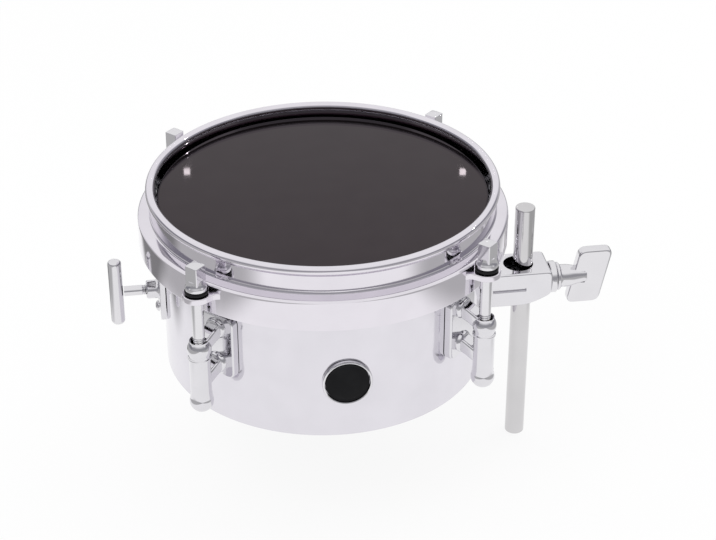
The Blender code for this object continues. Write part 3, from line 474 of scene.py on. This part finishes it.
def build_shell():
    outer, inner, depth, lip = 76.2, 75.0, 84.5, 72.4
    profile = rounded(
        [(outer, 0), (outer, depth), (inner - 1.0, depth), (inner, depth - 2.6), (inner, 1.2),
         (lip, 1.2), (lip, 0)],
        [0.9, 1.1, 0.3, 0.5, 1.0, 0.5, 0.5],
    )
    body = lathe(profile, 192)
    hole = tube([(-70, 0, STRAINER_Z), (-80, 0, STRAINER_Z)], 3.0, 24)
    mesh = mesh_of(boolean(body, [hole]), "shell_skin")
    piece("shell_skin", mesh, SHELL_CHROME, "drum", ["shell"])


def build_head():
    top, inner, outer = 85.2, 76.5, 76.9
    profile = [
        (0, top), (40, top), (70, top), (73.6, top + 0.02), (75.0, top - 0.04),
        *arc((75.9, top - 1.0), 1.0, 90, 0, 7), (outer, 71.0), (outer - 0.2, 70.3), (inner, 70.3),
        (inner, 84.3), (76.2, 84.78), (75.5, 84.8), (0, 84.8),
    ]
    mesh = mesh_of(lathe(profile, 160), "head_skin")
    piece("head_skin", mesh, FILM, "drum", ["head_film"])
    ring = rounded([(77.2, 67.9), (83.8, 67.9), (83.8, 75.9), (77.2, 75.9)], [1, 1, 1, 1])
    mesh = mesh_of(lathe(ring, 128), "head_ring")
    piece("head_ring", mesh, ALUMINIUM, "drum", ["flesh_hoop"])


def build_hoop():
    lip = (80.0, 89.5)
    profile = [
        *arc(lip, 2.1, 230, -62, 22),
        (80.4, 86.9), (80.4, 79.6), (80.55, 78.8), (80.95, 78.2), (81.6, 77.9),
        (84.6, 77.62), (85.5, 77.3), (86.1, 76.7), (86.3, 75.9),
        (86.3, 63.3), (86.15, 62.95), (85.8, 62.8), (85.1, 62.8), (84.8, 62.95), (84.7, 63.3),
        (84.7, 75.4), (84.4, 76.0), (83.9, 76.2), (78.9, 76.2), (78.6, 76.5), (78.6, 87.9),
    ]
    ring = lathe(profile, 240)
    ears = []
    cutters = []
    root = 85.5
    outline = [(root, -9.4)]
    outline += [(root + 1.6, -7.6), (root + 2.6, -6.9)]
    outline += arc((ROD_CIRCLE, 0), 6.4, -84, 84, 25)
    outline += [(root + 2.6, 6.9), (root + 1.6, 7.6), (root, 9.4)]
    for turn in LUG_TURNS:
        ears.append(placed(extruded(outline, 3.0, 0.5), spin(turn) @ shift(z=73.0)))
        hole = tube([(ROD_CIRCLE, 0, 69), (ROD_CIRCLE, 0, 78)], 3.0, 32)
        seat = tube([(ROD_CIRCLE, 0, 74.5), (ROD_CIRCLE, 0, 80.9)], 5.6, 40)
        cutters += [placed(hole, spin(turn)), placed(seat, spin(turn))]
    whole = boolean(boolean(ring, ears, "UNION"), cutters)
    mesh = mesh_of(whole, "hoop_skin", 28)
    piece("hoop_skin", mesh, HOOP_CHROME, "hoop", ["counterhoop"])


# Tension rods and lugs.
def build_rods():
    half = 3.2
    stem = [
        (0, 81.2), (3.6, 81.2), (3.75, 80.4), (3.95, 79.6), (4.35, 78.8), (4.75, 78.35),
        (4.9, 78.0), (4.9, 76.8), (4.75, 76.5), (2.7, 76.5), (2.7, 52.0), (0, 52.0),
    ]
    square = box((-half, -half, 79.2), (half, half, 88.5), 0.45, 3)
    crown = [(0, 88.9), (1.6, 88.86), (2.6, 88.7), (3.05, 88.42), (3.05, 88.0), (0, 88.0)]
    end = threaded(2.7, 0.45, 1.058, 25.8, 52.2)
    rod = merged(lathe(stem, 48), square, lathe(crown, 32), end)
    mesh = mesh_of(placed(rod, shift(x=ROD_CIRCLE)), "key_rod")
    ring = rounded([(3.0, 74.8), (5.3, 74.8), (5.3, 76.2), (3.0, 76.2)], [0.2, 0.5, 0.5, 0.2])
    washer = mesh_of(placed(lathe(ring, 48), shift(x=ROD_CIRCLE)), "washer")
    for i, turn in enumerate(LUG_TURNS, start=1):
        piece(f"key_rod_{i}_skin", mesh, HARDWARE, f"key_rod_{i}",
              [f"tension_rod_{i}"], spin(turn))
        piece(f"key_washer_{i}", washer, WASHER, "hoop",
              [f"rod_washer_{i}"], spin(turn))


def lug_body():
    """A tube with a ball at each end, two arms and a base plate curved to the shell."""
    low, high, wide, ball = 12.5, 50.0, 4.8, 5.5
    profile = [
        (4.2, high), (4.3, high + 0.02), *arc((0, high - 4.4), ball, 48, -20, 12),
        (wide + 0.15, high - 6.9), (wide, high - 7.6), (wide, high - 8.3),
        (wide + 0.45, high - 8.6), (wide + 0.55, high - 9.0), (wide + 0.45, high - 9.4),
        (wide, high - 9.7), (wide, low + 10.2), (wide + 0.2, low + 9.2),
        *arc((0, low + ball), ball, 26, -88, 16), (0, low), (0, low + 9),
        (4.2, low + 11), (4.2, high - 0.3),
    ]
    body = placed(lathe(profile, 48), shift(x=ROD_CIRCLE))
    plate = rounded([(-9.5, -15.5), (9.5, -15.5), (9.5, 15.5), (-9.5, 15.5)], [4, 4, 4, 4], 8)
    base = placed(extruded(plate, 6.0, 0.8), shift(x=76.5, z=41.5) @ UPRIGHT)
    base = boolean(base, [shell_core()])
    arms = []
    foot = []
    for z in LUG_SCREW_HEIGHTS:
        side = [(78.9, z - 3.6), (83.0, z - 4.6), (ROD_CIRCLE - 1.5, z - 7.25),
                (ROD_CIRCLE - 1.5, z - 0.75), (83.0, z + 2.4), (78.9, z + 3.6)]
        arm = extruded(side, 7.0, 1.2, 4)
        arms.append(placed(arm, spin(90, "X")))
        collar = lathe(rounded([(0, 0), (5.4, 0), (4.6, 2.2), (0, 2.2)], [0, 0.2, 1, 0]), 32)
        foot.append(placed(collar, shift(x=79.0, z=z) @ spin(90, "Y")))
    return merged(body, base, *arms, *foot)


def build_lugs():
    mesh = mesh_of(lug_body(), "lug_skin", 36)
    sleeve = [(3.0, 35.0), (3.9, 35.0), (3.9, 43.2), (3.7, 43.4), (3.2, 43.4), (3.0, 43.2)]
    sleeve = mesh_of(placed(lathe(sleeve, 40), shift(x=ROD_CIRCLE)), "lug_sleeve")
    for i, turn in enumerate(LUG_TURNS, start=1):
        piece(f"lug_{i}_skin", mesh, LUG_CHROME, "drum", [f"lug_{i}"], spin(turn))
        piece(f"lug_{i}_sleeve", sleeve, BRASS, "drum", [f"lug_insert_{i}"], spin(turn))


def pan_screw(radius, head, height, length):
    """A pan-head screw along +Z from its head's flat side at 0, with a cross recess in its head."""
    dome = [(head * math.cos(a), -height * math.sin(a)) for a in
            [math.pi / 2 * i / 8 for i in range(9)]]
    profile = [(0, -height), *[(r, h) for r, h in reversed(dome[:-1])], (head, 0), (radius, 0),
               (radius, length - 0.4), (radius - 0.4, length), (0, length)]
    body = lathe(profile, 32)
    size = 0.55 * head
    thin = 0.13 * head
    cross = [
        box((-size, -thin, -height - 1), (size, thin, -0.45 * height), 0),
        box((-thin, -size, -height - 1), (thin, size, -0.45 * height), 0),
    ]
    return boolean(body, cross)


def build_screws():
    lug_screw = placed(pan_screw(1.9, 4.2, 2.6, 7.1), shift(x=74.4) @ spin(90, "Y"))
    lug_screw = mesh_of(lug_screw, "lug_screw")
    for row, z in zip(("low", "high"), LUG_SCREW_HEIGHTS):
        for i, turn in enumerate(LUG_TURNS, start=1):
            piece(f"inner_screw_{row}_{i}", lug_screw, ZINC, "drum",
                  [f"lug_screw_{row}_{i}"], spin(turn) @ shift(z=z))
    clamp_screw = placed(pan_screw(1.6, 2.9, 2.2, 10.6), shift(x=72.4) @ spin(90, "Y"))
    clamp_screw = mesh_of(clamp_screw, "clamp_screw")
    for i, z in enumerate((BRACKET_Z - CLAMP_SCREW_RISE, BRACKET_Z + CLAMP_SCREW_RISE), start=1):
        piece(f"clamp_screw_{i}", clamp_screw, ZINC, "drum",
              [f"bracket_screw_{i}"], shift(z=z))
    outer_screw = placed(pan_screw(1.5, 2.8, 1.8, 6.4), shift(x=78.8) @ spin(-90, "Y"))
    outer_screw = mesh_of(outer_screw, "outer_screw")
    heights = (STRAINER_Z - STRAINER_SCREW_RISE, STRAINER_Z + STRAINER_SCREW_RISE)
    for i, z in enumerate(heights, start=1):
        piece(f"outer_screw_{i}", outer_screw, HARDWARE, "drum",
              [f"strainer_screw_{i}"], spin(180) @ shift(z=z))


# Badge.
def build_badge():
    facing = spin(-90) @ shift(x=77.7, z=29.3) @ spin(90, "Y")
    face = [(0, 0.25), (6.0, 0.18), (8.3, 0.05), (8.6, -0.12), (9.0, -0.12), (9.3, 0.0),
            (9.9, -0.05), (10.0, -0.3), (10.0, -4.5), (0, -4.5)]
    disc = placed(lathe(face, 72), facing)
    mesh = mesh_of(boolean(disc, [shell_core(256)]), "badge_face", 50)
    piece("badge_face", mesh, BADGE, "drum", ["badge"])
    edge = [(10.3, -0.1), (10.4, 0.15), (10.8, 0.33), (11.15, 0.2), (11.4, -0.2), (11.4, -4.5),
            (10.3, -4.5)]
    rim = placed(lathe(edge, 72), facing)
    mesh = mesh_of(boolean(rim, [shell_core(256)]), "badge_edge")
    piece("badge_edge", mesh, HARDWARE, "drum", ["badge_rim"])


# Rod clamp.
def build_mount_rod():
    profile = rounded(
        [(0, ROD_LENGTH), (ROD_RADIUS, ROD_LENGTH), (ROD_RADIUS, 0), (0, 0)], [0, 0.8, 0.8, 0], 6)
    mesh = mesh_of(placed(lathe(profile, 64), shift(x=ROD_X, z=ROD_FOOT)), "mount_rod_skin")
    piece("mount_rod_skin", mesh, ROD_CHROME, "stand_rod", ["mount_rod"])


def build_clamp():
    low, high, end = BRACKET_Z - CLAMP_HALF, BRACKET_Z + CLAMP_HALF, 109.86
    side = rounded(
        [(73.2, low), (99.0, low), (end, low + 5.2), (end, high), (73.2, high)],
        [0, 6.0, 3.0, 3.0, 0], 6)
    block = placed(extruded(side, 20.6, 1.0, 4), spin(90, "X"))
    core = shell_core(low=-10)
    chamber = box((70, -8.66, BRACKET_Z - 3.3), (106.66, 8.66, BRACKET_Z + 3.3), 0)
    hole = tube([(94.81, 0, 5), (94.81, 0, 50)], 7.25, 48)
    shank = tube([(98, 0, BRACKET_Z), (115, 0, BRACKET_Z)], 3.2, 24)
    cutters = [core, chamber, hole, shank]
    for y in (-10.3, 10.3):
        cutters.append(box((80.5, y - 1.3, BRACKET_Z - 1.0), (97, y + 1.3, BRACKET_Z + 1.0), 0.2))
    for z in (BRACKET_Z - CLAMP_SCREW_RISE, BRACKET_Z + CLAMP_SCREW_RISE):
        cutters.append(tube([(70, 0, z), (83.3, 0, z)], 1.9, 16))
    mesh = mesh_of(boolean(block, cutters), "clamp_block")
    piece("clamp_block", mesh, BRACKET, "drum", ["mount_bracket"])
    loop = rounded([(6.06, -3), (8.36, -3), (8.36, 3), (6.06, 3)], [0.5, 0.5, 0.5, 0.5])
    ring = placed(lathe(loop, 64), shift(x=98.0, z=BRACKET_Z))
    neck = tube([(105.4, 0, BRACKET_Z), (111, 0, BRACKET_Z)], 2.9, 24)
    bolt = placed(threaded(2.9, 0.4, 1.0, 0.0, 17.2), shift(x=110.4, z=BRACKET_Z) @ spin(90, "Y"))
    mesh = mesh_of(merged(ring, neck, bolt), "clamp_eye")
    piece("clamp_eye", mesh, ZINC, "clamp_bolt", ["eye_bolt"])


def build_wing_nut():
    facing = shift(z=BRACKET_Z) @ spin(90, "Y")
    collar = rounded([(3.2, 110.16), (7.8, 110.16), (7.8, 113.36), (3.2, 113.36)],
                     [0.2, 0.7, 0.7, 0.2])
    mesh = mesh_of(placed(lathe(collar, 64), facing), "clamp_collar")
    piece("clamp_collar", mesh, HARDWARE, "drum", ["clamp_washer"])
    hub = [
        (3.2, 113.66), (6.6, 113.66), (6.9, 113.96), (6.9, 114.9), (6.6, 115.26), (6.1, 115.4),
        (5.7, 115.9), (5.6, 116.6), (5.5, 119.4), (5.0, 122.0), (4.4, 124.6), (4.0, 127.2),
        (3.8, 128.4), (3.5, 128.76), (0, 128.76), (0, 127.96), (3.2, 127.96),
    ]
    body = placed(lathe(hub, 56), facing)
    span, lean, root, start = 14.5, 3.0, 16.5, 121.96
    bore, end = 3.2, 127.96
    slant = bore * lean / span
    outline = rounded(
        [(start - lean, -span), (start + root - lean, -span), (start + root + lean, span),
         (start + lean, span), (start + slant, bore), (end, bore), (end, -bore),
         (start - slant, -bore)],
        [4.2, 3.6, 4.2, 3.6, 0, 0, 0, 0], 8)
    wing = extruded(outline, 5.6, 1.2, 4, keep=lambda point: abs(point.y) < bore + 0.1)
    wing = placed(wing, shift(z=BRACKET_Z) @ spin(90, "X"))
    mesh = mesh_of(merged(wing, body), "wing_skin")
    piece("wing_skin", mesh, HARDWARE, "clamp_nut", ["wing_nut"])


# Strainer and snare wires.
def build_strainer():
    plate = rounded([(-9, -13), (9, -13), (9, 13), (-9, 13)], [3, 3, 3, 3], 8)
    base = placed(extruded(plate, 5.3, 0.6), shift(x=75.85, z=STRAINER_Z) @ UPRIGHT)
    boss = [(0, 76.6), (4.4, 76.6), (5.4, 78.5), (5.0, 78.75), (4.5, 79.4), (4.4, 80.2),
            (4.4, 83.9), (3.9, 84.5), (0, 84.5)]
    boss = placed(lathe(boss, 48), shift(z=STRAINER_Z) @ spin(90, "Y"))
    cutters = [shell_core(), tube([(70, 0, STRAINER_Z), (90, 0, STRAINER_Z)], 2.7, 32)]
    for z in (STRAINER_Z - STRAINER_SCREW_RISE, STRAINER_Z + STRAINER_SCREW_RISE):
        cutters.append(tube([(70, 0, z), (90, 0, z)], 1.8, 16))
    mesh = mesh_of(boolean(boolean(base, [boss], "UNION"), cutters), "strainer_base")
    piece("strainer_base", mesh, BRACKET, "drum", ["strainer_bracket"],
          spin(180))
    facing = shift(z=STRAINER_Z) @ spin(90, "Y")
    bolt = merged(
        placed(threaded(2.4, 0.3, 0.8, 69.0, 86.5), facing),
        placed(lathe([(0, 86.4), (2.4, 86.4), (2.4, 94.95), (0, 94.95)], 32), facing),
        placed(lathe([(0, 65.7), (1.6, 65.7), (1.6, 69.1), (0, 69.1)], 24), facing),
    )
    mesh = mesh_of(bolt, "pull_bolt")
    piece("pull_bolt", mesh, HARDWARE, "snare_handle", ["t_bolt"], spin(180))
    half = 17.0
    bar = [(0, half), (1.9, half - 0.12), (2.7, half - 0.45), (3.1, half - 1.0), (3.25, half - 1.8),
           (3.25, 1.8 - half), (3.1, 1.0 - half), (2.7, 0.45 - half), (1.9, 0.12 - half), (0, -half)]
    mesh = mesh_of(placed(lathe(bar, 40), shift(x=98.5, z=STRAINER_Z)), "pull_bar")
    piece("pull_bar", mesh, HARDWARE, "snare_handle", ["t_bar"], spin(180))


def build_snares():
    """Twelve close coils between the end plates, each soldered down at both ends."""
    wires = []
    reach, width, height, count = 67.6, 21.8, 83.7, 12
    coil, wire, turns, steps = 0.62, 0.17, 104, 7
    for i in range(count):
        y = -width / 2 + width * i / (count - 1)
        points = []
        for k in range(turns * steps + 1):
            a = 2 * math.pi * k / steps
            x = -reach + 2 * reach * k / (turns * steps)
            points.append((x, y + coil * math.cos(a), height + coil * math.sin(a)))
        wires.append(tube(points, wire, 4))
    mesh = mesh_of(merged(*wires), "snare_coils", 60)
    piece("snare_coils", mesh, SNARE, "snare_unit", ["snare_wires"])
    for name, turn, node in (("butt_plate", 0, "snare_plate_butt"),
                             ("yoke_plate", 180, "snare_plate_yoke")):
        plate = box((63.0, -13.0, 80.6), (68.0, 13.0, 82.6), 0.35, 3)
        ridge = tube([(65.5, -12.2, 82.45), (65.5, 12.2, 82.45)], 0.5, 12)
        mesh = mesh_of(merged(plate, ridge), name)
        piece(name, mesh, ZINC, "snare_unit", [node], spin(turn))


def finish_cad():
    """The inner brackets keep their CAD shape, with their sharp edges softened."""
    for name in ("butt_bracket", "yoke_guide", "snare_yoke", "bolt_retainer"):
        modifier = frame["nodes"][name].modifiers.new("Bevel", "BEVEL")
        modifier.width = 0.00025
        modifier.segments = 2
        modifier.limit_method = "ANGLE"
        modifier.angle_limit = math.radians(40)


# Camera, floor and light.
def set_camera():
    """The camera that fits the photograph's edges, set off from a point just over the head."""
    turn = math.radians(8.664)
    tilt = math.radians(31.034)
    aside, below, away = 0.01626, 0.04376, 0.87787
    right = Vector((math.cos(turn), -math.sin(turn), 0))
    ahead = Vector(
        (math.cos(tilt) * math.sin(turn), math.cos(tilt) * math.cos(turn), -math.sin(tilt))
    )
    up = right.cross(ahead)
    target = Vector((-0.097, 0.0, 0.1544))
    place = target + right * aside - up * below - ahead * away
    data = bpy.data.cameras.new("camera")
    data.sensor_width = 36.0
    data.lens = 95.479
    data.clip_start = 0.02
    data.clip_end = 20.0
    camera = bpy.data.objects.new("camera", data)
    bpy.context.scene.collection.objects.link(camera)
    turned = Matrix((right, up, -ahead)).transposed().to_4x4()
    camera.matrix_world = Matrix.Translation(place) @ turned
    bpy.context.scene.camera = camera


def set_floor():
    """White paper. Reflections see it grey at both sides and darker in a corner, back left."""
    bm = bmesh.new()
    bmesh.ops.create_grid(bm, x_segments=1, y_segments=1, size=4.0)
    floor = bpy.data.objects.new("floor", mesh_of(bm, "floor"))
    bpy.context.scene.collection.objects.link(floor)
    made, tree, shader = material("floor_paper")
    shader.inputs["Roughness"].default_value = 0.9
    mottle = noise(tree, 3.0, 2.0)
    white = ramp(tree, mottle, (0.94, 0.94, 0.94), (0.96, 0.96, 0.96))
    tree.links.new(white, shader.inputs["Base Color"])
    place = tree.nodes.new("ShaderNodeTexCoord")
    split = tree.nodes.new("ShaderNodeSeparateXYZ")
    tree.links.new(place.outputs["Object"], split.inputs[0])
    middle = between(tree, split.outputs["X"], (-0.37, -0.3), (0.1, 0.17))
    tone = tree.nodes.new("ShaderNodeMapRange")
    tone.inputs["To Min"].default_value = 0.45
    tree.links.new(middle, tone.inputs["Value"])
    corner = patch(tree, split.outputs["X"], ((-0.46, -0.4), (-0.29, -0.25)),
                   split.outputs["Y"], ((0.06, 0.12), (0.45, 0.55)))
    shade = toned(tree, tone.outputs["Result"], corner, (0.16, 0.16, 0.16))
    rays = tree.nodes.new("ShaderNodeLightPath")
    seen = combined(tree, "MAXIMUM", rays.outputs["Is Camera Ray"], shade)
    plain = tree.nodes.new("ShaderNodeEmission")
    tree.links.new(seen, plain.inputs["Color"])
    direct = combined(
        tree, "MAXIMUM", rays.outputs["Is Camera Ray"], rays.outputs["Is Glossy Ray"]
    )
    share = tree.nodes.new("ShaderNodeMath")
    share.operation = "MULTIPLY"
    share.inputs[1].default_value = 0.9
    tree.links.new(direct, share.inputs[0])
    mix = tree.nodes.new("ShaderNodeMixShader")
    tree.links.new(share.outputs[0], mix.inputs["Fac"])
    tree.links.new(shader.outputs[0], mix.inputs[1])
    tree.links.new(plain.outputs[0], mix.inputs[2])
    tree.links.new(mix.outputs[0], tree.nodes["Material Output"].inputs["Surface"])
    floor.data.materials.append(made)


def set_world():
    """White light, with grey behind the camera, low at both sides and along the horizon.

    The camera itself sees plain white.
    """
    world = bpy.data.worlds.new("studio")
    bpy.context.scene.world = world
    world.use_nodes = True
    tree = world.node_tree
    background = tree.nodes["Background"]
    place = tree.nodes.new("ShaderNodeTexCoord")
    split = tree.nodes.new("ShaderNodeSeparateXYZ")
    tree.links.new(place.outputs["Generated"], split.inputs[0])
    facing = tree.nodes.new("ShaderNodeVectorMath")
    facing.operation = "DOT_PRODUCT"
    facing.inputs[1].default_value = (-0.149, -0.989, 0.0)
    tree.links.new(place.outputs["Generated"], facing.inputs[0])
    front = facing.outputs["Value"]
    across = split.outputs["X"]
    up = split.outputs["Z"]
    height = tree.nodes.new("ShaderNodeValToRGB")
    height.color_ramp.elements[0].position = 0.0
    height.color_ramp.elements[0].color = (0.94, 0.94, 0.95, 1)
    height.color_ramp.elements[1].position = 0.75
    height.color_ramp.elements[1].color = (1.0, 1.0, 1.0, 1)
    tree.links.new(up, height.inputs["Fac"])
    dark = patch(tree, front, ((0.3, 0.5), (1.5, 2.0)), up, ((0.0, 0.1), (0.34, 0.75)))
    band = ((0.0, 0.08), (0.3, 0.45))
    right = patch(tree, across, ((0.55, 0.8), (1.5, 2.0)), up, band)
    left = patch(tree, across, ((-2.0, -1.5), (-0.8, -0.55)), up, band)
    edge = between(tree, up, (-0.03, 0.0), (0.03, 0.06))
    colour = toned(tree, height.outputs["Color"], right, (0.3, 0.3, 0.33))
    colour = toned(tree, colour, left, (0.26, 0.26, 0.29))
    colour = toned(tree, colour, edge, (0.3, 0.3, 0.32))
    colour = toned(tree, colour, dark, (0.36, 0.36, 0.38))
    tree.links.new(colour, background.inputs["Color"])
    background.inputs["Strength"].default_value = 0.95
    out = tree.nodes["World Output"]
    rays = tree.nodes.new("ShaderNodeLightPath")
    white = tree.nodes.new("ShaderNodeBackground")
    white.inputs["Color"].default_value = (1, 1, 1, 1)
    mix = tree.nodes.new("ShaderNodeMixShader")
    tree.links.new(rays.outputs["Is Camera Ray"], mix.inputs["Fac"])
    tree.links.new(background.outputs[0], mix.inputs[1])
    tree.links.new(white.outputs[0], mix.inputs[2])
    tree.links.new(mix.outputs[0], out.inputs["Surface"])


def add_lamp(name, place, target, size, power, mirrored):
    """A lamp of a size in metres and a power in watts. mirrored lets reflections show it."""
    data = bpy.data.lights.new(name, "AREA")
    data.shape = "RECTANGLE"
    data.size = size[0]
    data.size_y = size[1]
    data.energy = power
    lamp = bpy.data.objects.new(name, data)
    bpy.context.scene.collection.objects.link(lamp)
    lamp.location = place
    lamp.visible_glossy = mirrored
    lamp.rotation_euler = (Vector(target) - Vector(place)).to_track_quat("-Z", "Y").to_euler()


set_camera()
set_floor()
set_world()
add_lamp("key", (-0.9, -0.7, 1.3), (-0.08, 0, 0.1), (0.9, 0.9), 6.0, False)
add_lamp("fill", (0.9, 0.5, 1.1), (-0.08, 0, 0.1), (0.8, 0.8), 2.5, False)
add_lamp("glint_left", (-0.087, 1.439, 0.897), (-0.158, 0.027, 0.147), (0.008, 0.008), 0.0021, True)
add_lamp("glint_right", (0.269, 1.388, 0.899), (-0.03, 0.008, 0.147), (0.008, 0.008), 0.0021, True)
add_lamp("glint_side", (1.24, 0.321, 0.88), (-0.156, 0.051, 0.146), (0.05, 0.03), 0.3, True)
bpy.context.scene.view_settings.view_transform = "Standard"

CAD_FINISH = {
    "rod_chrome": ROD_CHROME,
    "shell_chrome": SHELL_CHROME,
    "hoop_chrome": HOOP_CHROME,
    "lug_chrome": LUG_CHROME,
    "bracket_chrome": BRACKET,
    "hardware_chrome": HARDWARE,
    "badge_rim_chrome": HARDWARE,
    "badge_black": BADGE,
    "head_film": FILM,
    "aluminium": ALUMINIUM,
    "zinc_steel": ZINC,
    "snare_steel": SNARE,
    "brass": BRASS,
    "black_washer": WASHER,
}
for row in frame["record"]["subparts"]:
    node = frame["nodes"][row["node"]]
    for place in node.material_slots:
        place.material = CAD_FINISH[row["material_slot"]]

for build in (
    build_shell,
    build_head,
    build_hoop,
    build_rods,
    build_lugs,
    build_screws,
    build_badge,
    build_mount_rod,
    build_clamp,
    build_wing_nut,
    build_strainer,
    build_snares,
    finish_cad,
):
    build()
